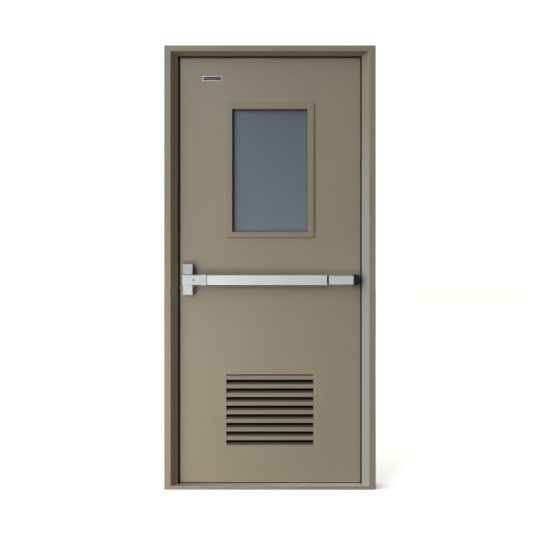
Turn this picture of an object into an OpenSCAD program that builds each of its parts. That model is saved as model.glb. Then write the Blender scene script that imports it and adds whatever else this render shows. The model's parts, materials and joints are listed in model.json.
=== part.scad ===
// Steel fire door: a single leaf in a four-sided pressed-steel frame, with a
// vision panel, a louvre and a push-bar exit device on the push side.
// +X is to the right seen from the push side, +Y is through the door towards
// the hinge side, +Z is up. Z = 0 is the underside of the sill and Y = 0 is
// the push-side face of the leaf. Lengths are in millimetres.

/* [Frame] */
// Overall width of the frame
frame_w = 1000; // [960:10:1200]
// Overall height of the frame
frame_h = 2100; // [2080:10:2300]
// How far the frame face stands in front of the leaf face
frame_front = 60; // [54:1:80]
// Width of the jamb face
jamb_face = 30.3; // [26:0.1:40]
// Height of the head face
head_face = 27.5; // [24:0.1:40]
// How far the jamb's splayed reveal runs inwards
jamb_splay = 29.7; // [20:0.1:34]
// How far the head's splayed reveal runs down
head_splay = 9.8; // [8:0.1:20]
// Thickness of the frame's pressed sheet
frame_t = 2; // [1.5:0.1:2.5]
// Height of the sill at its front edge
sill_front = 17.6; // [16:0.1:20]
// Height of the sill under the leaf
sill_back = 12.3; // [11:0.1:14]

/* [Leaf] */
// Thickness of the leaf
leaf_t = 50; // [48:1:54]
// Thickness of the leaf's face sheets
skin_t = 1.5; // [1:0.1:2]
// Gap between the leaf and the frame at both sides and the top
leaf_gap = 6; // [5:0.5:8]
// Gap under the leaf
floor_gap = 5; // [5:0.5:8]

/* [Vision panel] */
// Half width of the clear sight of the glass
sight_hw = 181; // [120:1:190]
// Lower edge of the clear sight
sight_z0 = 1220.3; // [1150:0.1:1300]
// Upper edge of the clear sight
sight_z1 = 1812.1; // [1600:0.1:1850]
// Width of the glazing frame at the sides
bead_side = 30; // [24:1:34]
// Width of the glazing frame at the top and bottom
bead_end = 25.5; // [22:0.5:32]
// How far the glazing frame stands proud of the leaf
bead_proud = 8; // [6:0.5:12]
// Thickness of the glass
glass_t = 14; // [10:1:16]

/* [Louvre] */
// Half width of the louvre opening
louvre_hw = 209.3; // [150:0.1:230]
// Lower edge of the louvre opening
louvre_z0 = 194.6; // [150:0.1:260]
// Number of full slots
louvre_slots = 8; // [4:1:9]
// Distance from slot to slot
louvre_pitch = 41.5; // [38:0.1:42]
// Height of one slot
louvre_slot = 25.5; // [22:0.1:26]

/* [Exit device] */
// Height of the push bar's centre line
bar_z = 991; // [950:1:1060]
// Height of the push pad
pad_h = 49; // [46:1:54]
// How far the front of the pad stands off the leaf
pad_front = 60; // [58:1:66]
// Travel of the pad when it is pressed
pad_travel = 15; // [10:1:15]

/* [Hinges] */
// Heights of the three hinges' centres
hinge_z = [260, 1043, 1826];
// Length of one hinge
hinge_len = 120; // [100:1:130]
// Outer radius of the hinge barrel
barrel_r = 7.5; // [7:0.1:7.5]
// Radius of the hinge pin
pin_r = 4; // [3:0.1:4.5]

/* [Hidden] */

khaki = [0.53, 0.50, 0.42];
khaki_leaf = [0.54, 0.51, 0.44];
silver = [0.80, 0.83, 0.82];
steel = [0.62, 0.62, 0.60];
black = [0.10, 0.10, 0.10];
rubber = [0.07, 0.06, 0.05];
board = [0.72, 0.68, 0.58];
pane = [0.40, 0.43, 0.46, 0.9];

hw = frame_w / 2;
x_face = hw - jamb_face;            // inner edge of the jamb face
x_stop = x_face - jamb_splay;       // edge of the jamb stop
rebate = 14;                        // depth of the jamb rebate behind the stop
x_reb = x_stop + rebate;            // jamb rebate wall
z_face = frame_h - head_face;
z_stop = z_face - head_splay;
z_reb = z_stop + 13.3;
y_stop = -10;                       // rear face of the stop
lip = 12;                           // return lip towards the wall
leaf_hw = x_reb - leaf_gap;
leaf_z0 = sill_back + floor_gap;
leaf_z1 = z_reb - leaf_gap;
seal_w = 6.3;                       // how far a seal shows past the stop
ax = x_reb - leaf_gap / 2;          // hinge axis
ay = leaf_t + 8;
plate_t = 2.5;
plate_y0 = 22;
web = 1.5;                          // stile and rail sheet
open_hw = sight_hw + 12;            // opening cut for the glass
open_z0 = sight_z0 - 12;
open_z1 = sight_z1 + 12;
lip_h = louvre_pitch - louvre_slot;
louvre_z1 = louvre_z0 + louvre_slots * louvre_pitch + 9.1;
lock_z = bar_z;
glass_y0 = (leaf_t - glass_t) / 2;
glass_y1 = glass_y0 + glass_t;
case_x0 = -leaf_hw + 24;
case_x1 = -leaf_hw + 122.5;
pad_x0 = -leaf_hw + 145.8;
pad_x1 = leaf_hw - 178.5;
tail_x0 = leaf_hw - 169;
tail_x1 = leaf_hw - 52.3;
cap_x1 = leaf_hw - 25.8;
rail_d = 17;                        // how far the base rail stands off the leaf

// A sheet of thickness t folded along the path p. A positive t lies to the
// left of the path and a negative one to its right.
function unit_left(a, b) = let (d = b - a) [-d[1], d[0]] / norm(d);
function fold(p, i, t) =
  i == 0 ? t * unit_left(p[0], p[1]) :
  i == len(p) - 1 ? t * unit_left(p[i - 1], p[i]) :
  let (a = unit_left(p[i - 1], p[i]), b = unit_left(p[i], p[i + 1]))
    t * (a + b) / (1 + a * b);
function sheet(p, t) =
  concat(p, [for (i = [len(p) - 1:-1:0]) p[i] + fold(p, i, t)]);
// Points of an arc
function arc(cx, cy, r, a0, a1, n) =
  [for (i = [0:n]) let (a = a0 + (a1 - a0) * i / n) [cx + r * cos(a), cy + r * sin(a)]];

// A box between two corners
module box(a, b) { translate(a) cube(b - a); }
// A (y, z) outline drawn out along X from x0 to x1
module along_x(x0, x1, p) { translate([x0, 0, 0]) rotate([90, 0, 90]) linear_extrude(x1 - x0) polygon(p); }
// A rectangular ring between two rectangles, from y0 to y1
module ring(hx, z0, z1, ix, iz0, iz1, y0, y1) {
  difference() {
    box([-hx, y0, z0], [hx, y1, z1]);
    box([-ix, y0 - 1, iz0], [ix, y1 + 1, iz1]);
  }
}

// ---- frame ----
jamb_path = [
  [hw, -frame_front + lip], [hw, -frame_front], [x_face, -frame_front],
  [x_stop, y_stop - 6], [x_stop, y_stop], [x_reb, y_stop], [x_reb, leaf_t],
  [hw, leaf_t], [hw, leaf_t - lip]
];
head_path = [
  [-frame_front + lip, frame_h], [-frame_front, frame_h], [-frame_front, z_face],
  [y_stop - 6, z_stop], [y_stop, z_stop], [y_stop, z_reb], [leaf_t, z_reb],
  [leaf_t, frame_h], [leaf_t - lip, frame_h]
];
// Mitre line of the head and jamb, seen from the front
k_in = head_splay / jamb_splay;
k_out = head_face / jamb_face;
module mitre(above) {
  for (s = [-1, 1])
    scale([s, 1, 1])
      translate([0, y_stop, 0]) rotate([90, 0, 0]) linear_extrude(frame_front + 20)
        polygon(concat(
          [[x_stop - 60, z_stop - 60 * k_in], [x_face, z_face], [hw + 20, frame_h + 20 * k_out]],
          above ? [[hw + 20, frame_h + 60], [x_stop - 60, frame_h + 60]]
                : [[hw + 20, z_stop - 90], [x_stop - 60, z_stop - 90]]));
}
// The jamb's outline as a filled post, which the head and sill butt against
module jamb_outline(z0, z1) {
  for (s = [-1, 1])
    scale([s, 1, 1]) translate([0, 0, z0]) linear_extrude(z1 - z0)
      polygon(concat(jamb_path, [[hw + 20, leaf_t - lip], [hw + 20, leaf_t + 20], [hw + 40, leaf_t + 20], [hw + 40, -frame_front - 20], [hw + 20, -frame_front - 20], [hw + 20, -frame_front + lip]]));
}
module jamb() {
  difference() {
    linear_extrude(frame_h) polygon(sheet(jamb_path, -frame_t));
    mitre(true);
    for (i = [0:3])
      translate([x_reb - 4, 16, 150 + i * 600]) rotate([0, 90, 0]) cylinder(r = 5.5, h = 12, $fn = 32);
  }
}
module frame_jamb_hinge() {
  color(khaki) difference() {
    jamb();
    for (z = hinge_z)
      box([x_reb - 1, plate_y0 - 0.1, z - hinge_len / 2 - 0.1], [x_reb + plate_t + 0.1, leaf_t + 1, z + hinge_len / 2 + 0.1]);
  }
}
module frame_jamb_latch() {
  color(khaki) difference() {
    mirror([1, 0, 0]) jamb();
    box([-x_reb - 3, 10, lock_z - 70], [-x_reb + 1, 40, lock_z + 70]);
  }
}
module frame_head() {
  color(khaki) difference() {
    along_x(-hw, hw, sheet(head_path, frame_t));
    mitre(false);
    for (s = [-1, 1]) scale([s, 1, 1]) box([x_reb, y_stop, z_stop - 20], [hw + 10, leaf_t + 10, frame_h + 10]);
  }
}
module frame_sill() {
  color(khaki) difference() {
    along_x(-hw + 0.5, hw - 0.5, [[-frame_front, 0], [-frame_front, sill_front], [0, sill_back], [leaf_t, sill_back], [leaf_t, 0]]);
    along_x(-hw - 1, hw + 1, [[-frame_front + 2, 2], [-frame_front + 2, sill_front - 2.2], [0, sill_back - 2], [leaf_t - 2, sill_back - 2], [leaf_t - 2, 2]]);
    jamb_outline(-5, 40);
    for (s = [-1, 1]) scale([s, 1, 1]) translate([0, 0, -5]) linear_extrude(40) polygon(jamb_path);
  }
}
// Rubber seal on the rear of the stop: a flat strip with a rounded nose
module seal_section() {
  union() {
    translate([x_stop - seal_w + 3.3, y_stop]) square([12, 4]);
    translate([x_stop - seal_w + 2.4, y_stop + 2.5]) circle(r = 2.4, $fn = 24);
  }
}
module seal_jamb() {
  translate([0, 0, sill_front - 4.2]) linear_extrude(z_stop - sill_front + 12) seal_section();
}
module seal_jamb_hinge() { color(rubber) seal_jamb(); }
module seal_jamb_latch() { color(rubber) mirror([1, 0, 0]) seal_jamb(); }
module seal_head() {
  color(rubber)
    translate([-x_stop + seal_w + 0.5, 0, 0]) rotate([90, 0, 90]) linear_extrude(2 * (x_stop - seal_w - 0.5))
      union() {
        translate([y_stop, z_stop - 1.7]) square([4, 12]);
        translate([y_stop + 2.5, z_stop - 2.4]) circle(r = 2.4, $fn = 24);
      }
}
module strike_plate() {
  color(steel) difference() {
    box([-x_reb - 2, 10, lock_z - 70], [-x_reb, 40, lock_z + 70]);
    box([-x_reb - 3, 17, lock_z - 14], [-x_reb + 1, 33, lock_z + 14]);
    for (s = [-1, 1]) translate([-x_reb - 3, 25, lock_z + s * 52]) rotate([0, 90, 0]) cylinder(r = 2.75, h = 4, $fn = 24);
  }
}

// ---- hinges: five knuckles, three on the frame and two on the leaf ----
knuckle = (hinge_len - 2) / 5;
module hinge_half(zc, first, side) {
  z0 = zc - hinge_len / 2;
  px = side * leaf_gap / 2;                 // gap-side face of the plate, from the axis
  bore = side > 0 ? pin_r : pin_r + 0.05;
  difference() {
    union() {
      box([ax + min(px, px + side * plate_t), plate_y0, z0], [ax + max(px, px + side * plate_t), leaf_t - 1, z0 + hinge_len]);
      for (i = [first:2:4]) translate([0, 0, z0 + i * (knuckle + 0.5)]) {
        box([ax + min(px, px + side * plate_t), leaf_t - 2, 0], [ax + max(px, px + side * plate_t), ay, knuckle]);
        translate([ax, ay, 0]) cylinder(r = barrel_r, h = knuckle, $fn = 48);
      }
    }
    translate([ax, ay, z0 - 1]) cylinder(r = bore, h = hinge_len + 2, $fn = 48);
  }
}
module hinge_pin(zc) {
  color(steel) union() {
    translate([ax, ay, zc - hinge_len / 2 - 2]) cylinder(r = pin_r, h = hinge_len + 4, $fn = 48);
    for (s = [-1, 1]) translate([ax, ay, zc + s * (hinge_len / 2 + 2) - 2]) cylinder(r = barrel_r - 1, h = 4, $fn = 48);
  }
}
module hinge_bottom_frame_half() { color(steel) hinge_half(hinge_z[0], 0, 1); }
module hinge_middle_frame_half() { color(steel) hinge_half(hinge_z[1], 0, 1); }
module hinge_top_frame_half() { color(steel) hinge_half(hinge_z[2], 0, 1); }
module hinge_bottom_leaf_half() { color(steel) hinge_half(hinge_z[0], 1, -1); }
module hinge_middle_leaf_half() { color(steel) hinge_half(hinge_z[1], 1, -1); }
module hinge_top_leaf_half() { color(steel) hinge_half(hinge_z[2], 1, -1); }
module hinge_bottom_pin() { hinge_pin(hinge_z[0]); }
module hinge_middle_pin() { hinge_pin(hinge_z[1]); }
module hinge_top_pin() { hinge_pin(hinge_z[2]); }

// ---- leaf ----
module leaf_sheet(y0, y1) {
  difference() {
    box([-leaf_hw, y0, leaf_z0], [leaf_hw, y1, leaf_z1]);
    box([-open_hw, y0 - 1, open_z0], [open_hw, y1 + 1, open_z1]);
    box([-louvre_hw, y0 - 1, louvre_z0], [louvre_hw, y1 + 1, louvre_z1]);
  }
}
// Room for the leaf's hinge plates
module hinge_pockets() {
  for (z = hinge_z)
    box([leaf_hw - plate_t - 0.1, plate_y0 - 0.1, z - hinge_len / 2 - 0.1], [leaf_hw + 1, leaf_t + 1, z + hinge_len / 2 + 0.1]);
}
module leaf_front_sheet() { color(khaki_leaf) leaf_sheet(0, skin_t); }
module leaf_back_sheet() { color(khaki_leaf) difference() { leaf_sheet(leaf_t - skin_t, leaf_t); hinge_pockets(); } }
module leaf_core() {
  y0 = skin_t + 1.7; y1 = leaf_t - skin_t - 1.7;
  zb = leaf_z0 + 2; zt = leaf_z1 - 2; zm = louvre_z1 + 2;
  color(board) {
    for (s = [-1, 1]) scale([s, 1, 1]) {
      box([louvre_hw + 3, y0, zb], [leaf_hw - 4, y1, zm]);
      box([open_hw + 2, y0, zm + 0.5], [leaf_hw - 4, y1, zt]);
    }
    box([-louvre_hw - 2.5, y0, zb], [louvre_hw + 2.5, y1, louvre_z0 - 2.5]);
    box([-open_hw - 1.5, y0, zm + 0.5], [open_hw + 1.5, y1, open_z0 - 2]);
    box([-open_hw - 1.5, y0, open_z1 + 2], [open_hw + 1.5, y1, zt]);
  }
}
// Folded edge channel of the leaf, 20 mm deep
module stile() {
  union() {
    box([leaf_hw - web, skin_t, leaf_z0], [leaf_hw, leaf_t - skin_t, leaf_z1]);
    box([leaf_hw - 20, skin_t, leaf_z0], [leaf_hw, skin_t + web, leaf_z1]);
    box([leaf_hw - 20, leaf_t - skin_t - web, leaf_z0], [leaf_hw, leaf_t - skin_t, leaf_z1]);
  }
}
module leaf_stile_hinge() { color(khaki_leaf) difference() { stile(); hinge_pockets(); } }
module leaf_stile_latch() {
  color(khaki_leaf) difference() {
    mirror([1, 0, 0]) stile();
    box([-leaf_hw - 1, 13, lock_z - 100], [-leaf_hw + 3.1, 37, lock_z + 100]);
  }
}
module leaf_rail(z0, z1) {
  up = z0 < 1000;
  e = leaf_hw - web;
  zf0 = up ? z0 : z1 - 20;
  zf1 = up ? z0 + 20 : z1;
  union() {
    box([-e, skin_t + web, z0], [e, leaf_t - skin_t - web, z1]);
    box([-leaf_hw + 20, skin_t, zf0], [leaf_hw - 20, skin_t + web, zf1]);
    box([-leaf_hw + 20, leaf_t - skin_t - web, zf0], [leaf_hw - 20, leaf_t - skin_t, zf1]);
  }
}
module leaf_rail_top() { color(khaki_leaf) leaf_rail(leaf_z1 - web, leaf_z1); }
module leaf_rail_bottom() { color(khaki_leaf) leaf_rail(leaf_z0, leaf_z0 + web); }

// ---- vision panel ----
module vision_frame() {
  ox = sight_hw + bead_side; oz0 = sight_z0 - bead_end; oz1 = sight_z1 + bead_end; t = 1.8;
  union() {
    ring(ox, oz0, oz1, sight_hw, sight_z0, sight_z1, -bead_proud, -bead_proud + t);
    ring(ox, oz0, oz1, ox - t, oz0 + t, oz1 - t, -bead_proud, 0);
    ring(sight_hw + t, sight_z0 - t, sight_z1 + t, sight_hw, sight_z0, sight_z1, -bead_proud, glass_y0 - 3);
  }
}
module glazing_seal(y0) {
  ring(sight_hw + 7, sight_z0 - 7, sight_z1 + 7, sight_hw - 2.5, sight_z0 + 2.5, sight_z1 - 2.5, y0, y0 + 3);
}
module vision_frame_front() { color(khaki) vision_frame(); }
module vision_frame_back() { color(khaki) translate([0, leaf_t, 0]) mirror([0, 1, 0]) vision_frame(); }
module vision_glass() { color(pane) box([-open_hw + 4, glass_y0, open_z0 + 4], [open_hw - 4, glass_y1, open_z1 - 4]); }
module glazing_seal_front() { color(rubber) glazing_seal(glass_y0 - 3); }
module glazing_seal_back() { color(rubber) glazing_seal(glass_y1); }

// ---- louvre: chevron blades between two cheeks, lips flush with the skins ----
module blade(z) {
  h = leaf_t / 2;
  along_x(-louvre_hw - 1, louvre_hw + 1,
    sheet([[0, z - lip_h], [0, z], [h, z + h], [leaf_t, z], [leaf_t, z - lip_h]], -1.6));
}
module louvre() {
  h = leaf_t / 2; t = 2;
  color(khaki_leaf) union() {
    intersection() {
      union() {
        for (i = [1:louvre_slots]) blade(louvre_z0 + i * louvre_pitch);
        along_x(-louvre_hw - 1, louvre_hw + 1,
          sheet([[skin_t, louvre_z0 + skin_t], [h, louvre_z0 + h], [leaf_t - skin_t, louvre_z0 + skin_t]], -1.6));
      }
      union() {
        box([-louvre_hw, -1, louvre_z0 - 1], [louvre_hw, leaf_t + 1, louvre_z1]);
        box([-louvre_hw - t, skin_t, louvre_z0 - 1], [louvre_hw + t, leaf_t - skin_t, louvre_z1]);
      }
    }
    difference() {
      box([-louvre_hw - t, skin_t, louvre_z0 - t], [louvre_hw + t, leaf_t - skin_t, louvre_z1 + t - 0.2]);
      box([-louvre_hw, 0, louvre_z0], [louvre_hw, leaf_t, louvre_z1 - 0.2]);
    }
  }
}

// ---- lock edge ----
module lock_faceplate() {
  color(steel) difference() {
    box([-leaf_hw, 13, lock_z - 100], [-leaf_hw + 3, 37, lock_z + 100]);
    box([-leaf_hw - 1, 18, lock_z - 11], [-leaf_hw + 4, 32, lock_z + 11]);
    for (s = [-1, 1]) translate([-leaf_hw - 1, 25, lock_z + s * 88]) rotate([0, 90, 0]) cylinder(r = 2.5, h = 5, $fn = 24);
  }
}
// The latch bolt is drawn back, so that the leaf is free to swing
module latch_bolt() {
  color(silver) along_z_bolt();
}
module along_z_bolt() {
  translate([0, 0, lock_z - 10.6]) linear_extrude(21.2)
    polygon([[-leaf_hw + 3.9, 18.4], [-leaf_hw + 0.6, 18.4], [-leaf_hw - 1, 22], [-leaf_hw - 1, 31.6], [-leaf_hw + 3.9, 31.6]]);
}

// ---- exit device ----
module exit_head_cover() {
  h = 24.8;
  color(silver) difference() {
    intersection() {
      along_x(case_x0, case_x1, concat([[0, bar_z - h]], arc(-pad_front + 4, bar_z - h + 4, 4, 270, 180, 6), arc(-pad_front + 4, bar_z + h - 4, 4, 180, 90, 6), [[0, bar_z + h]]));
      translate([0, 0, bar_z - h - 1]) linear_extrude(2 * h + 2)
        polygon([[case_x0, 0], [case_x0, -pad_front + 14], [case_x0 + 9.5, -pad_front], [case_x1, -pad_front], [case_x1, 0]]);
    }
    // Fine lines along the top and bottom of the front, and the set screw's recess
    for (s = [-1, 1]) box([case_x0 + 12, -pad_front - 1, bar_z + s * (h - 6) - 0.6], [case_x1 + 1, -pad_front + 1, bar_z + s * (h - 6) + 0.6]);
    translate([case_x0 + 62, -pad_front + 5, bar_z]) rotate([90, 0, 0]) cylinder(r = 4.5, h = 7, $fn = 32);
  }
}
module exit_head_body() {
  x0 = case_x0 + 6; x1 = case_x0 + 56; h = 24.8;
  zu = bar_z + 77; zl = bar_z - 72.3;
  color(silver) difference() {
    intersection() {
      along_x(x0, x1, concat(
        [[0, zl]], arc(-36, zl + 5, 5, 270, 193, 5),
        [[-50, bar_z - 26], [-50, bar_z + 26]],
        arc(-36, zu - 5, 5, 167, 90, 5), [[0, zu]]));
      translate([0, 0, zl - 1]) linear_extrude(zu - zl + 2)
        polygon([[x0, 0], [x0, -14], [x0 + 7, -56], [x1 - 2, -56], [x1, -53], [x1, 0]]);
    }
    box([x0 - 1, -70, bar_z - h], [x1 + 1, 1, bar_z + h]);
  }
}
module exit_rail() {
  color(silver)
    along_x(case_x1, tail_x1, sheet([[0, bar_z - 17], [-rail_d, bar_z - 17], [-rail_d, bar_z + 17], [0, bar_z + 17]], -2));
}
guide_x = [-leaf_hw + 230, leaf_hw - 260];
guide_r = 4.9;
module exit_pad_guides() {
  color(steel) for (x = guide_x)
    translate([x, -rail_d, bar_z]) rotate([90, 0, 0]) cylinder(r = guide_r, h = pad_front - rail_d - 2 - pad_travel - 2, $fn = 32);
}
module exit_tail_cover() {
  h = 21.75; f = pad_front - 2;
  color(silver)
    along_x(tail_x0, tail_x1, sheet(concat([[0, bar_z - h]], arc(-f + 4, bar_z - h + 4, 4, 270, 180, 6), arc(-f + 4, bar_z + h - 4, 4, 180, 90, 6), [[0, bar_z + h]]), -2));
}
module exit_end_cap() {
  h = 24.35;
  color(black) intersection() {
    along_x(tail_x1, cap_x1, concat([[0, bar_z - h]], arc(-pad_front + 5, bar_z - h + 5, 5, 270, 180, 6), arc(-pad_front + 5, bar_z + h - 5, 5, 180, 90, 6), [[0, bar_z + h]]));
    translate([0, 0, bar_z - h - 1]) linear_extrude(2 * h + 2)
      polygon(concat([[tail_x1, 0]], [[tail_x1, -pad_front]], arc(cap_x1 - 9, -pad_front + 9, 9, -90, 0, 6), [[cap_x1, 0]]));
  }
}
module push_pad() {
  h = pad_h / 2; f = pad_front; d = 28;
  path = concat([[-f + d, bar_z - h]], arc(-f + 5, bar_z - h + 5, 5, 270, 180, 6), arc(-f + 5, bar_z + h - 5, 5, 180, 90, 6), [[-f + d, bar_z + h]]);
  inner = concat([[-f + 22, bar_z - h + 1]], [[-f + 1, bar_z - h + 1]], [[-f + 1, bar_z + h - 1]], [[-f + 22, bar_z + h - 1]]);
  color(silver) difference() {
    union() {
      along_x(pad_x0 + 5, pad_x1, sheet(path, -2));
      // Tongue that runs inside the collar, 5 mm clear of it all round
      along_x(case_x1 + 6.5, pad_x0 + 7, sheet([[-f + 22.5, bar_z - h + 4], [-f + 4.5, bar_z - h + 4], [-f + 4.5, bar_z + h - 4], [-f + 22.5, bar_z + h - 4]], -2));
      intersection() {
        along_x(pad_x0 + 5, pad_x1 + 1, path);
        union() {
          along_x(pad_x0 + 5, pad_x0 + 7, inner);
          along_x(pad_x1 - 2, pad_x1, inner);
          for (x = guide_x) translate([x, -f + 22, bar_z]) rotate([90, 0, 0]) cylinder(r = 9, h = 21, $fn = 32);
        }
      }
    }
    for (x = guide_x) translate([x, -f + 30, bar_z]) rotate([90, 0, 0]) cylinder(r = guide_r + 0.1, h = 28, $fn = 32);
  }
}
// Fixed collar of the head cover, over the pad's tongue
module exit_pad_collar() {
  h = 27.1; f = pad_front + 2; w = 1.5;
  path = concat([[0, bar_z - h]], arc(-f + 5, bar_z - h + 5, 5, 270, 180, 6), arc(-f + 5, bar_z + h - 5, 5, 180, 90, 6), [[0, bar_z + h]]);
  color(silver) union() {
    along_x(case_x1, pad_x0, sheet(path, -w));
    difference() {
      along_x(case_x1, case_x1 + w, path);
      box([case_x1 - 1, -rail_d, bar_z - 17], [case_x1 + w + 1, 1, bar_z + 17]);
    }
  }
}

frame_jamb_latch();
frame_jamb_hinge();
frame_head();
frame_sill();
seal_jamb_latch();
seal_jamb_hinge();
seal_head();
strike_plate();
hinge_top_frame_half();
hinge_middle_frame_half();
hinge_bottom_frame_half();
hinge_top_pin();
hinge_middle_pin();
hinge_bottom_pin();
leaf_front_sheet();
leaf_back_sheet();
leaf_core();
leaf_stile_latch();
leaf_stile_hinge();
leaf_rail_top();
leaf_rail_bottom();
vision_frame_front();
vision_frame_back();
vision_glass();
glazing_seal_front();
glazing_seal_back();
louvre();
hinge_top_leaf_half();
hinge_middle_leaf_half();
hinge_bottom_leaf_half();
lock_faceplate();
latch_bolt();
exit_head_body();
exit_head_cover();
exit_rail();
exit_pad_guides();
exit_tail_cover();
exit_end_cap();
push_pad();
exit_pad_collar();
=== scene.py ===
# Looks of the steel fire door: materials, small fixings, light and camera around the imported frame.
import bpy, bmesh, json, math
from mathutils import Vector, Matrix


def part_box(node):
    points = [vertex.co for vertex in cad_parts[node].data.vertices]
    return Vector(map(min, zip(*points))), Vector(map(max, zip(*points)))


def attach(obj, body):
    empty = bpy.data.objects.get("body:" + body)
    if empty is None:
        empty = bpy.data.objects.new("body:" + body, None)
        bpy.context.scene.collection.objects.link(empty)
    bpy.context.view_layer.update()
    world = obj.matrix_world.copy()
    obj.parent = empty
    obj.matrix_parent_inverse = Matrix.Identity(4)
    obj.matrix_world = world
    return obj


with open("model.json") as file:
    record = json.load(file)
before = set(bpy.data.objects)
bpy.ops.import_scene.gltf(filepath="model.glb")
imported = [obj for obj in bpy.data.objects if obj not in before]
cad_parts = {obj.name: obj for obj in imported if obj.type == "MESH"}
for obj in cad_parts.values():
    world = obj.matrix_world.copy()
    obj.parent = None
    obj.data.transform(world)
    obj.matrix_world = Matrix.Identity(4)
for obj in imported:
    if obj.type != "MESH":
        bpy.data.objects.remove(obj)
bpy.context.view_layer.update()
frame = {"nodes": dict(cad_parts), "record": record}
N = frame["nodes"]
scene = bpy.context.scene


# ---------------------------------------------------------------- node helpers
def lin(c):
    """sRGB 0-255 to linear."""
    out = []
    for v in c:
        v = v / 255
        out.append(v / 12.92 if v <= 0.04045 else ((v + 0.055) / 1.055) ** 2.4)
    return out


class Mat:
    """A small builder of node materials."""

    def __init__(self, name):
        self.m = bpy.data.materials.new(name)
        self.m.use_nodes = True
        self.t = self.m.node_tree
        self.bsdf = next(n for n in self.t.nodes if n.type == "BSDF_PRINCIPLED")
        self.out = next(n for n in self.t.nodes if n.type == "OUTPUT_MATERIAL")
        self.geo = self.new("ShaderNodeTexCoord")

    def new(self, kind, **kw):
        n = self.t.nodes.new(kind)
        for k, v in kw.items():
            setattr(n, k, v)
        return n

    def link(self, a, b):
        self.t.links.new(a, b)

    def set(self, **kw):
        for k, v in kw.items():
            self.bsdf.inputs[k.replace("_", " ")].default_value = v

    def coords(self, scale=(1, 1, 1)):
        mp = self.new("ShaderNodeMapping")
        mp.inputs["Scale"].default_value = scale
        self.link(self.geo.outputs["Object"], mp.inputs["Vector"])
        return mp.outputs["Vector"]

    def noise(self, scale, detail=3.0, rough=0.55, stretch=(1, 1, 1), distortion=0.0):
        n = self.new("ShaderNodeTexNoise")
        n.inputs["Scale"].default_value = scale
        n.inputs["Detail"].default_value = detail
        n.inputs["Roughness"].default_value = rough
        n.inputs["Distortion"].default_value = distortion
        self.link(self.coords(stretch), n.inputs["Vector"])
        return n.outputs["Fac"]

    def ramp(self, fac, stops):
        r = self.new("ShaderNodeValToRGB")
        el = r.color_ramp.elements
        while len(el) > 1:
            el.remove(el[-1])
        el[0].position, el[0].color = stops[0][0], (*stops[0][1], 1)
        for p, c in stops[1:]:
            e = el.new(p)
            e.color = (*c, 1)
        self.link(fac, r.inputs["Fac"])
        return r.outputs["Color"]

    def remap(self, fac, a, b, c, d, clamp=True):
        m = self.new("ShaderNodeMapRange", clamp=clamp)
        for k, v in zip(("From Min", "From Max", "To Min", "To Max"), (a, b, c, d)):
            m.inputs[k].default_value = v
        self.link(fac, m.inputs["Value"])
        return m.outputs["Result"]

    def math(self, op, a, b=None):
        m = self.new("ShaderNodeMath", operation=op)
        for i, v in enumerate((a, b)):
            if v is None:
                continue
            if isinstance(v, (int, float)):
                m.inputs[i].default_value = v
            else:
                self.link(v, m.inputs[i])
        return m.outputs["Value"]

    def mix(self, fac, a, b, mode="MIX"):
        m = self.new("ShaderNodeMix", data_type="RGBA", blend_type=mode)
        for sock, v in ((m.inputs[0], fac), (m.inputs[6], a), (m.inputs[7], b)):
            if isinstance(v, (int, float)):
                sock.default_value = v
            elif isinstance(v, (tuple, list)):
                sock.default_value = (*v, 1) if len(v) == 3 else v
            else:
                self.link(v, sock)
        return m.outputs[2]

    def bump(self, height, strength, distance, under=None):
        b = self.new("ShaderNodeBump")
        b.inputs["Strength"].default_value = strength
        b.inputs["Distance"].default_value = distance
        self.link(height, b.inputs["Height"])
        if under is not None:
            self.link(under, b.inputs["Normal"])
        return b.outputs["Normal"]

    def axis(self, which):
        s = self.new("ShaderNodeSeparateXYZ")
        self.link(self.geo.outputs["Object"], s.inputs["Vector"])
        return s.outputs[which]


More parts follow.
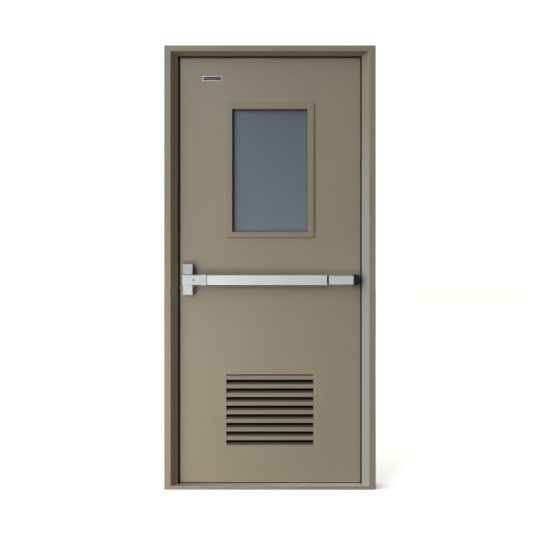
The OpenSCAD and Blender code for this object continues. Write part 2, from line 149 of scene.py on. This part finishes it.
def powder_coat(name, rgb, rough=0.5, mottle=0.05, dust=0.06, painted_depth_shade=None, painted_top_light=None, sheen=None, painted_side_reflection=None, gloss=0.45):
    """Satin powder coat on steel: fine orange peel, faint cloudy variation, a little dust towards the floor.
    painted_depth_shade = stops of (depth, value, blue factor): painted shade that darkens the inside of the louvre with
    its depth from the nearer face.
    painted_top_light = (colour, share): painted reflection that turns the up-facing top of a sill pale. sheen is the
    weight of a dusty look at low angles.
    painted_side_reflection = colour of a cool painted reflection on the sides that face -X, fading out between 1.3 and
    1.8 m up."""
    m = Mat(name)
    base = rgb
    dark = [v * (1 - mottle) for v in base]
    light = [min(1, v * (1 + mottle)) for v in base]
    cloud = m.noise(2.2, 4, 0.6, (1.0, 1.0, 0.55))
    col = m.ramp(cloud, [(0.3, dark), (0.7, light)])
    # fine speckle of the coat
    speck = m.noise(1500, 2, 0.5)
    col = m.mix(m.remap(speck, 0.35, 0.65, 0.0, 0.10), col, [v * 0.80 for v in base])
    # faint vertical wipe marks
    wipe = m.noise(9, 5, 0.65, (1.0, 1.0, 0.10), 0.4)
    col = m.mix(m.remap(wipe, 0.52, 0.75, 0.0, 0.10), col, [min(1, v * 1.18) for v in base])
    # dust near the floor
    low = m.remap(m.axis("Z"), 0.0, 0.35, 1.0, 0.0)
    grime = m.math("MULTIPLY", low, m.remap(m.noise(14, 5, 0.7), 0.35, 0.75, 0.0, dust * 2))
    col = m.mix(grime, col, lin((168, 158, 140)))
    # painted shade: the louvre's hidden faces go almost black with depth from the nearer face
    if painted_depth_shade:
        y = m.axis("Y")
        depth = m.math("MINIMUM", y, m.math("SUBTRACT", 0.050, y))
        stops = [(d / 0.025, (v, v, v * t)) for d, v, t in painted_depth_shade]
        col = m.mix(1.0, col, m.ramp(m.remap(depth, 0.0, 0.025, 0.0, 1.0), stops), "MULTIPLY")
    # painted reflection: sides facing -X go cool pale grey, fully below 1.3 m and not at all above 1.8 m
    if painted_side_reflection:
        n = m.new("ShaderNodeNewGeometry")
        s = m.new("ShaderNodeSeparateXYZ")
        m.link(n.outputs["Normal"], s.inputs["Vector"])
        side = m.remap(s.outputs["X"], -0.45, -0.75, 0.0, 1.0)
        height = m.remap(m.axis("Z"), 1.80, 1.30, 0.0, 0.88)
        col = m.mix(m.math("MULTIPLY", side, height), col, painted_side_reflection)
    # painted reflection on up-facing tops, in noisy patches and only in front of the leaf plane; painted shade keeps
    # the left end darker
    if painted_top_light:
        n = m.new("ShaderNodeNewGeometry")
        s = m.new("ShaderNodeSeparateXYZ")
        m.link(n.outputs["Normal"], s.inputs["Vector"])
        top = m.remap(s.outputs["Z"], 0.6, 0.95, 0.0, 1.0)
        patch = m.remap(m.noise(18, 5, 0.7, (0.5, 1, 1)), 0.3, 0.62, 0.55, 1.0)
        lit_to_right = m.remap(m.axis("X"), -0.44, 0.30, 0.25, 1.0)
        front = m.remap(m.axis("Y"), -0.001, 0.006, 1.0, 0.0)
        share = m.math("MULTIPLY", m.math("MULTIPLY", top, patch), m.math("MULTIPLY", lit_to_right, painted_top_light[1]))
        col = m.mix(m.math("MULTIPLY", share, front), col, painted_top_light[0])
    m.link(col, m.bsdf.inputs["Base Color"])
    r = m.math("ADD", m.remap(cloud, 0.3, 0.7, rough - 0.04, rough + 0.05), m.remap(wipe, 0.5, 0.8, 0.0, 0.08))
    m.link(r, m.bsdf.inputs["Roughness"])
    peel = m.noise(420, 2, 0.5)
    fine = m.noise(1400, 2, 0.5)
    n1 = m.bump(peel, 0.22, 0.0006)
    n2 = m.bump(fine, 0.12, 0.0003, n1)
    m.link(n2, m.bsdf.inputs["Normal"])
    m.set(Specular_IOR_Level=gloss)
    if sheen:
        m.set(Sheen_Weight=sheen, Sheen_Roughness=0.35, Sheen_Tint=(0.72, 0.84, 1.0, 1.0))
    return m.m


def brushed(name, rgb, rough=0.32, along=(4, 220, 220), streak=0.10, bump=0.10):
    """Satin metal with fine brush lines along one axis."""
    m = Mat(name)
    lines = m.noise(6, 4, 0.6, along)
    broad = m.noise(7, 3, 0.6)
    col = m.ramp(lines, [(0.25, [v * (1 - streak) for v in rgb]), (0.75, [min(1, v * (1 + streak * 0.5)) for v in rgb])])
    col = m.mix(m.remap(broad, 0.45, 0.8, 0.0, 0.18), col, [v * 0.86 for v in rgb])
    m.link(col, m.bsdf.inputs["Base Color"])
    r = m.math("ADD", m.remap(lines, 0.2, 0.8, rough - 0.06, rough + 0.08), m.remap(broad, 0.4, 0.8, 0.0, 0.07))
    m.link(r, m.bsdf.inputs["Roughness"])
    m.link(m.bump(lines, bump, 0.0003), m.bsdf.inputs["Normal"])
    m.set(Metallic=1.0)
    return m.m


def moulded(name, rgb, rough=0.45, grain=0.35, gloss=0.5):
    """Black moulded plastic or rubber: fine grain and slightly uneven sheen."""
    m = Mat(name)
    g = m.noise(900, 3, 0.6)
    b = m.noise(12, 3, 0.6)
    col = m.ramp(b, [(0.3, [v * 0.8 for v in rgb]), (0.7, [v * 1.25 for v in rgb])])
    m.link(col, m.bsdf.inputs["Base Color"])
    m.link(m.remap(b, 0.3, 0.7, rough - 0.06, rough + 0.10), m.bsdf.inputs["Roughness"])
    m.link(m.bump(g, grain, 0.0003), m.bsdf.inputs["Normal"])
    m.set(Specular_IOR_Level=gloss)
    return m.m


def frosted_glass(name, rgb):
    """Obscured fire glass: a cool grey-blue pane with a fine frosted surface and a soft sheen."""
    m = Mat(name)
    cloud = m.noise(3.0, 3, 0.55)
    col = m.ramp(cloud, [(0.3, [v * 0.94 for v in rgb]), (0.7, [v * 1.06 for v in rgb])])
    # painted shade: the pane darkens by about a quarter towards its top
    painted_top_shade = m.remap(m.axis("Z"), 1.22, 1.81, 0.0, 1.0)
    col = m.mix(painted_top_shade, col, [rgb[0] * 0.74, rgb[1] * 0.76, rgb[2] * 0.80])
    m.link(col, m.bsdf.inputs["Base Color"])
    frost = m.noise(700, 3, 0.6)
    m.link(m.remap(frost, 0.3, 0.7, 0.34, 0.46), m.bsdf.inputs["Roughness"])
    m.link(m.bump(frost, 0.25, 0.0004), m.bsdf.inputs["Normal"])
    m.set(IOR=1.5, Coat_Weight=0.25, Coat_Roughness=0.12)
    return m.m


def fire_board(name, rgb):
    m = Mat(name)
    g = m.noise(160, 5, 0.7)
    col = m.ramp(g, [(0.3, [v * 0.82 for v in rgb]), (0.7, rgb)])
    m.link(col, m.bsdf.inputs["Base Color"])
    m.link(m.remap(g, 0.3, 0.7, 0.85, 0.95), m.bsdf.inputs["Roughness"])
    m.link(m.bump(g, 0.5, 0.001), m.bsdf.inputs["Normal"])
    return m.m


# ---------------------------------------------------------------- materials
LEAF = (0.283, 0.246, 0.176)
M = {
    "frame_paint": powder_coat("frame_powder_coat", (0.276, 0.232, 0.157), 0.50, sheen=0.15),
    "leaf_paint": powder_coat("leaf_powder_coat", LEAF, 0.52),
    # louvre paint carries painted shade that deepens inside the louvre
    "louvre_paint": powder_coat("louvre_powder_coat", LEAF, 0.55, painted_depth_shade=[(0.0, 1.0, 1.0), (0.0012, 0.95, 1.0), (0.0030, 0.42, 1.12), (0.0085, 0.26, 1.12), (0.0125, 0.03, 1.0), (0.018, 0.006, 0.8)], gloss=0.18),
    # sill paint with a painted reflection on its top
    "sill_paint": powder_coat("sill_powder_coat", (0.290, 0.245, 0.176), 0.50, dust=0.05, painted_top_light=((0.70, 0.635, 0.63), 1.0)),
    "bead_paint": powder_coat("bead_powder_coat", (0.268, 0.226, 0.154), 0.48),
    "core_board": fire_board("mineral_board", (0.50, 0.45, 0.36)),
    "seal_rubber": moulded("black_seal_rubber", (0.0035, 0.003, 0.0025), 0.8, 0.2, 0.12),
    "glazing_rubber": moulded("glazing_rubber", (0.020, 0.019, 0.016), 0.7, 0.2),
    "glass": frosted_glass("obscured_fire_glass", (0.150, 0.182, 0.218)),
    "bar_metal": brushed("satin_silver", (0.480, 0.512, 0.528), 0.54, (1.2, 60, 60)),
    "hinge_steel": brushed("satin_stainless", (0.56, 0.55, 0.53), 0.30, (60, 60, 2.0)),
    # frame paint with a painted reflection on its sides facing -X
    "jamb_hinge_paint": powder_coat("hinge_jamb_powder_coat", (0.276, 0.232, 0.157), 0.50, sheen=0.15, painted_side_reflection=(0.308, 0.318, 0.330)),
    "cover_metal": brushed("satin_silver_cover", (0.400, 0.419, 0.428), 0.56, (1.2, 60, 60), 0.08, 0.08),
    "head_metal": brushed("satin_cast_silver", (0.355, 0.374, 0.387), 0.58, (14, 60, 60), 0.06, 0.06),
    # painted shade: the rail is near black so the gaps round the push pad read as shadow
    "rail_painted_shade": brushed("rail_shadow_grey", (0.055, 0.056, 0.060), 0.45, (1.2, 60, 60)),
    "cap_plastic": moulded("black_plastic", (0.0055, 0.0055, 0.006), 0.42, 0.35, 0.22),
}
slots = {s["node"]: s["material_slot"] for s in frame["record"]["subparts"]}
own = {"frame_jamb_hinge": "jamb_hinge_paint", "exit_head_body": "head_metal", "exit_head_cover": "cover_metal", "exit_pad_collar": "cover_metal", "louvre": "louvre_paint", "frame_sill": "sill_paint", "exit_rail": "rail_painted_shade"}
for name, obj in N.items():
    mat = M[own.get(name, slots[name])]
    if not obj.material_slots:
        obj.data.materials.append(mat)
    for s in obj.material_slots:
        s.material = mat


# ---------------------------------------------------------------- softened edges on the CAD pieces
def soften(node, width, angle=35, segments=2):
    """Round the folded and cut edges a little: the CAD mesh stays, a bevel is laid over it."""
    if node not in N:
        return
    o = N[node]
    w = o.modifiers.new("weld", "WELD")
    w.merge_threshold = 1e-5
    b = o.modifiers.new("bevel", "BEVEL")
    b.width, b.segments, b.limit_method, b.angle_limit = width, segments, "ANGLE", math.radians(angle)
    b.use_clamp_overlap = True
    b.harden_normals = False


for n, w, k in (("frame_jamb_latch", 0.0009, 3), ("frame_jamb_hinge", 0.0008, 1), ("frame_head", 0.0009, 3)):
    soften(n, w, 30, k)
soften("frame_sill", 0.0007)
for n in ("leaf_front_sheet", "leaf_back_sheet"):
    soften(n, 0.0006)
for n in ("vision_frame_front", "vision_frame_back"):
    soften(n, 0.0012, 35, 3)
soften("louvre", 0.0005)
for n in ("exit_head_body", "exit_head_cover"):
    soften(n, 0.0009, 30, 3)
for n in ("exit_tail_cover", "exit_pad_collar", "push_pad"):
    soften(n, 0.0005, 40, 2)
soften("exit_end_cap", 0.0012, 40, 3)
for n in ("strike_plate", "lock_faceplate", "latch_bolt"):
    soften(n, 0.0004)
for h in ("top", "middle", "bottom"):
    for t in ("frame_half", "leaf_half", "pin"):
        soften("hinge_%s_%s" % (h, t), 0.0004, 50)


# ---------------------------------------------------------------- small fixings as meshes
def new_piece(name, mesh_fn, body, mat, smooth=30):
    bm = bmesh.new()
    mesh_fn(bm)
    me = bpy.data.meshes.new(name)
    bmesh.ops.recalc_face_normals(bm, faces=bm.faces)
    bm.to_mesh(me)
    bm.free()
    o = bpy.data.objects.new(name, me)
    scene.collection.objects.link(o)
    me.materials.append(mat)
    for p in me.polygons:
        p.use_smooth = False
    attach(o, body)
    return o


def lathe(bm, profile, at, direction, steps=32):
    """Closed solid turned from (radius, height) points about a line from at along direction."""
    d = Vector(direction).normalized()
    q = Vector((0, 0, 1)).rotation_difference(d).to_matrix()
    rings = []
    for r, h in profile:
        if r == 0:
            rings.append([bm.verts.new(Vector(at) + q @ Vector((0, 0, h)))])
        else:
            rings.append([bm.verts.new(Vector(at) + q @ Vector((r * math.cos(2 * math.pi * k / steps), r * math.sin(2 * math.pi * k / steps), h))) for k in range(steps)])
    for a, b in zip(rings, rings[1:]):
        for k in range(steps):
            j = (k + 1) % steps
            if len(a) == 1:
                bm.faces.new((a[0], b[k], b[j]))
            elif len(b) == 1:
                bm.faces.new((a[k], a[j], b[0]))
            else:
                bm.faces.new((a[k], a[j], b[j], b[k]))


def cross_screw(bm, at, direction, r=0.004, proud=0.0006, turn=0.4):
    """Countersunk screw head with a cross recess, its face proud of the plate by a hair."""
    d = Vector(direction).normalized()
    q = Vector((0, 0, 1)).rotation_difference(d).to_matrix() @ Matrix.Rotation(turn, 3, "Z")
    a, w, dep = r * 0.58, r * 0.17, r * 0.42
    steps = 40
    cross = [(a, -w), (a, w), (w, w), (w, a), (-w, a), (-w, w), (-a, w), (-a, -w), (-w, -w), (-w, -a), (w, -a), (w, -w)]
    P = lambda x, y, z: bm.verts.new(Vector(at) + q @ Vector((x, y, z)))
    top = [P(r * 0.93 * math.cos(2 * math.pi * k / steps), r * 0.93 * math.sin(2 * math.pi * k / steps), proud) for k in range(steps)]
    mid = [P(r * math.cos(2 * math.pi * k / steps), r * math.sin(2 * math.pi * k / steps), proud * 0.4) for k in range(steps)]
    low = [P(r * 0.8 * math.cos(2 * math.pi * k / steps), r * 0.8 * math.sin(2 * math.pi * k / steps), -0.0008) for k in range(steps)]
    c0 = [P(x, y, proud) for x, y in cross]
    c1 = [P(x * 0.8, y * 0.8, proud - dep) for x, y in cross]
    for u, v in ((top, mid), (mid, low)):
        for k in range(steps):
            j = (k + 1) % steps
            bm.faces.new((u[k], u[j], v[j], v[k]))
    bm.faces.new(low)
    for k in range(12):
        j = (k + 1) % 12
        bm.faces.new((c0[k], c0[j], c1[j], c1[k]))
    bm.faces.new(c1)
    edges = [bm.edges.get((top[k], top[(k + 1) % steps])) for k in range(steps)] + [bm.edges.get((c0[k], c0[(k + 1) % 12])) for k in range(12)]
    bmesh.ops.triangle_fill(bm, use_beauty=True, edges=edges)


def box_of(n):
    lo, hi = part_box(n)
    return Vector(lo), Vector(hi)


STEEL = brushed("fixing_steel", (0.42, 0.41, 0.39), 0.34, (90, 90, 90), 0.12, 0.05)
DARK = moulded("black_insert", (0.008, 0.008, 0.009), 0.5, 0.2)

# hinge screws, four in each plate
for h in ("top", "middle", "bottom"):
    for part, body, d in (("frame_half", "frame", -1), ("leaf_half", "leaf", 1)):
        lo, hi = box_of("hinge_%s_%s" % (h, part))
        face = 0.454 if d < 0 else 0.448
        zc = (lo.z + hi.z) / 2

        def screws(bm, face=face, zc=zc, d=d, y0=lo.y):
            for i, (dy, dz) in enumerate(((0.008, 0.045), (0.0175, 0.020), (0.0175, -0.020), (0.008, -0.045))):
                cross_screw(bm, (face, y0 + dy, zc + dz), (d, 0, 0), 0.0038, 0.0005, 0.3 + i * 1.1)
        new_piece("hinge_%s_%s_screws" % (h, part), screws, body, STEEL)

# screws of the strike plate and the lock faceplate
lo, hi = box_of("strike_plate")
zc = (lo.z + hi.z) / 2
new_piece("strike_plate_screws", lambda bm: [cross_screw(bm, (hi.x, 0.025, zc + t * 0.052), (1, 0, 0), 0.0036, 0.0005, 0.7 + t) for t in (-1, 1)], "frame", STEEL)
lo, hi = box_of("lock_faceplate")
zc = (lo.z + hi.z) / 2
new_piece("lock_faceplate_screws", lambda bm: [cross_screw(bm, (lo.x, 0.025, zc + t * 0.088), (-1, 0, 0), 0.0034, 0.0005, 0.2 + t) for t in (-1, 1)], "leaf", STEEL)

# set screw in the head cover
lo, hi = box_of("exit_head_cover")
new_piece("head_cover_set_screw", lambda bm: lathe(bm, [(0, 0.0007), (0.0017, 0.0007), (0.0019, 0.0026), (0.0036, 0.0026), (0.0041, 0.0021), (0.0041, 0.0), (0, 0.0)], (lo.x + 0.062, lo.y + 0.0048, (lo.z + hi.z) / 2), (0, -1, 0), 32), "leaf", DARK)

# a small blank plate at the top of the leaf: a dark field in a pale rim
def rounded_slab(bm, cx, cz, w, h, r, y0, y1, inset=0.0):
    pts = []
    for sx, sz, a0 in ((1, 1, 0), (-1, 1, 90), (-1, -1, 180), (1, -1, 270)):
        for k in range(5):
            a = math.radians(a0 + 22.5 * k)
            pts.append((cx + sx * (w / 2 - r) + r * math.cos(a), cz + sz * (h / 2 - r) + r * math.sin(a)))
    a = [bm.verts.new((x, y1, z)) for x, z in pts]
    b = [bm.verts.new((x, y0 + inset, z)) for x, z in pts]
    k_in = [(cx + (x - cx) * (1 - 2 * inset / w), cz + (z - cz) * (1 - 2 * inset / h)) for x, z in pts]
    c = [bm.verts.new((x, y0, z)) for x, z in k_in]
    bm.faces.new(a)
    bm.faces.new(c)
    for u, v in ((a, b), (b, c)):
        for k in range(len(pts)):
            j = (k + 1) % len(pts)
            bm.faces.new((u[k], u[j], v[j], v[k]))


new_piece("blank_plate_rim", lambda bm: rounded_slab(bm, -0.2775, 1.9590, 0.094, 0.025, 0.003, -0.0009, 0.0, 0.0003), "leaf", STEEL)
PLATE = moulded("plate_slate_blue", (0.036, 0.044, 0.085), 0.40, 0.12)
new_piece("blank_plate_field", lambda bm: rounded_slab(bm, -0.2775, 1.9590, 0.086, 0.0175, 0.002, -0.0014, -0.0009, 0.0002), "leaf", PLATE)

# black insert in the open end of the tail cover
lo, hi = box_of("exit_tail_cover")


def tail_insert(bm):
    x0, x1 = lo.x - 0.0028, lo.x + 0.0005
    zc, h, f = (lo.z + hi.z) / 2, (hi.z - lo.z) / 2 - 0.0004, -lo.y - 0.0004
    pts = [(-0.0185, -h)]
    for cy, cz, a0 in ((-f + 0.004, -h + 0.004, 270), (-f + 0.004, h - 0.004, 180)):
        for k in range(7):
            a = math.radians(a0 - 15 * k)
            pts.append((cy + 0.004 * math.cos(a), cz + 0.004 * math.sin(a)))
    pts.append((-0.0185, h))
    a = [bm.verts.new((x0, y, zc + z)) for y, z in pts]
    b = [bm.verts.new((x1, y, zc + z)) for y, z in pts]
    bm.faces.new(a)
    bm.faces.new(b)
    for k in range(len(pts)):
        j = (k + 1) % len(pts)
        bm.faces.new((a[k], a[j], b[j], b[k]))


new_piece("tail_cover_insert", tail_insert, "leaf", DARK)

# screws that hold the vision panel's inner frame, on the far side only
lo, hi = box_of("vision_frame_back")
glo, ghi = box_of("vision_glass")
bx, bz = 0.0165, 0.0165
spots = [(x, z) for z in (lo.z + bz, hi.z - bz) for x in (lo.x + 0.03, (lo.x + hi.x) / 2, hi.x - 0.03)]
spots += [(x, lo.z + (hi.z - lo.z) * k / 3) for x in (lo.x + bx, hi.x - bx) for k in (1, 2)]
new_piece("vision_frame_screws", lambda bm: [cross_screw(bm, (x, hi.y, z), (0, 1, 0), 0.0042, 0.0006, i * 0.9) for i, (x, z) in enumerate(spots)], "leaf", STEEL)


# ---------------------------------------------------------------- stage, light and camera
def stage_material(name, rgb, emit=0.0, rough=0.9):
    m = bpy.data.materials.new(name)
    m.use_nodes = True
    b = m.node_tree.nodes["Principled BSDF"]
    b.inputs["Base Color"].default_value = (*rgb, 1)
    b.inputs["Roughness"].default_value = rough
    b.inputs["Specular IOR Level"].default_value = 0.1
    b.inputs["Emission Color"].default_value = (*rgb, 1)
    b.inputs["Emission Strength"].default_value = emit
    return m


bpy.ops.mesh.primitive_plane_add(size=60, location=(0, 0, -0.0006))
floor = bpy.context.object
floor.name = "studio_floor"
floor.data.materials.append(stage_material("floor_white", (0.93, 0.93, 0.93), 0.42))
bpy.ops.mesh.primitive_uv_sphere_add(segments=64, ring_count=32, radius=29)
dome = bpy.context.object
dome.name = "studio_backdrop"
dome.data.materials.append(stage_material("backdrop_white", (1, 1, 1), 1.0))
floor.visible_diffuse = False
dome.visible_diffuse = dome.visible_glossy = dome.visible_transmission = dome.visible_shadow = dome.visible_volume_scatter = False

world = bpy.data.worlds.new("studio")
scene.world = world
world.use_nodes = True
wt = world.node_tree
bg = wt.nodes["Background"]
tc = wt.nodes.new("ShaderNodeTexCoord")
sep = wt.nodes.new("ShaderNodeSeparateXYZ")
wt.links.new(tc.outputs["Generated"], sep.inputs["Vector"])


def wmath(op, a, b):
    n = wt.nodes.new("ShaderNodeMath")
    n.operation = op
    for i, v in enumerate((a, b)):
        if isinstance(v, (int, float)):
            n.inputs[i].default_value = v
        else:
            wt.links.new(v, n.inputs[i])
    return n.outputs["Value"]


def area(name, loc, target, size, power, rgb=(1, 1, 1)):
    d = bpy.data.lights.new(name, "AREA")
    d.shape, d.size, d.energy, d.color = "SQUARE", size, power, rgb
    o = bpy.data.objects.new(name, d)
    scene.collection.objects.link(o)
    o.location = loc
    o.rotation_euler = (Vector(target) - Vector(loc)).to_track_quat("-Z", "Y").to_euler()
    return o


# soft room light as a sum of broad lobes, each with its own colour
X, Y, Z = sep.outputs["X"], sep.outputs["Y"], sep.outputs["Z"]
left = wmath("MAXIMUM", wmath("MULTIPLY", X, -1.0), 0.0)
right = wmath("MAXIMUM", X, 0.0)
up = wmath("MAXIMUM", Z, 0.0)
down = wmath("MAXIMUM", wmath("MULTIPLY", Z, -1.0), 0.0)
ahead = wmath("ABSOLUTE", Y, 0.0)
lobes = {
    "all": 1.0, "left": left, "right": right, "up": up, "down": down, "ahead": ahead,
    "upleft": wmath("MULTIPLY", wmath("MULTIPLY", left, up), 2.0),
}
# LIGHT-BEGIN
LOBES = {"all": (0.05, 0.05, 0.05), "left": (0.08, 0.08, 0.08), "right": (0.06, 0.06, 0.06), "upleft": (2.40, 2.45, 2.26)}
LOWLEFT, KEY, HIGHLEFT, BACK = (35, (1.0, 0.965, 0.90)), (180, (1.0, 1.0, 1.0)), (11, (0.76, 0.90, 1.0)), (70, (1.0, 1.0, 1.0))
# LIGHT-END
sums = [0.0, 0.0, 0.0]
for k, rgb in LOBES.items():
    for i in range(3):
        sums[i] = wmath("ADD", sums[i], wmath("MULTIPLY", lobes[k], rgb[i]))
comb = wt.nodes.new("ShaderNodeCombineXYZ")
for i, s in enumerate("XYZ"):
    wt.links.new(wmath("MAXIMUM", sums[i], 0.0), comb.inputs[s])
wt.links.new(comb.outputs["Vector"], bg.inputs["Color"])
bg.inputs["Strength"].default_value = 1.0
if LOWLEFT[0] > 0:
    area("fill_low_left", (-1.30, -1.45, 0.02), (0.0, 0, 0.0), 1.2, *LOWLEFT)
if KEY[0] > 0:
    area("key_left", (-3.4, -7.2, 3.8), (0, 0, 1.0), 2.2, *KEY)
if HIGHLEFT[0] > 0:
    area("fill_high_left", (-1.3, -1.9, 2.7), (-0.1, 0, 2.05), 1.1, *HIGHLEFT)
if BACK[0] > 0:
    area("fill_back", (2.6, 5.0, 3.2), (0, 0, 1.0), 2.4, *BACK)

cam_d = bpy.data.cameras.new("camera")
cam_d.lens, cam_d.sensor_width = 47.0, 36.0
cam = bpy.data.objects.new("camera", cam_d)
scene.collection.objects.link(cam)
cam.location = (-0.0116, -3.360, 1.050)
cam.rotation_euler = (math.radians(90), 0, 0)
scene.camera = cam
scene.view_settings.view_transform = "Standard"
scene.view_settings.look = "None"
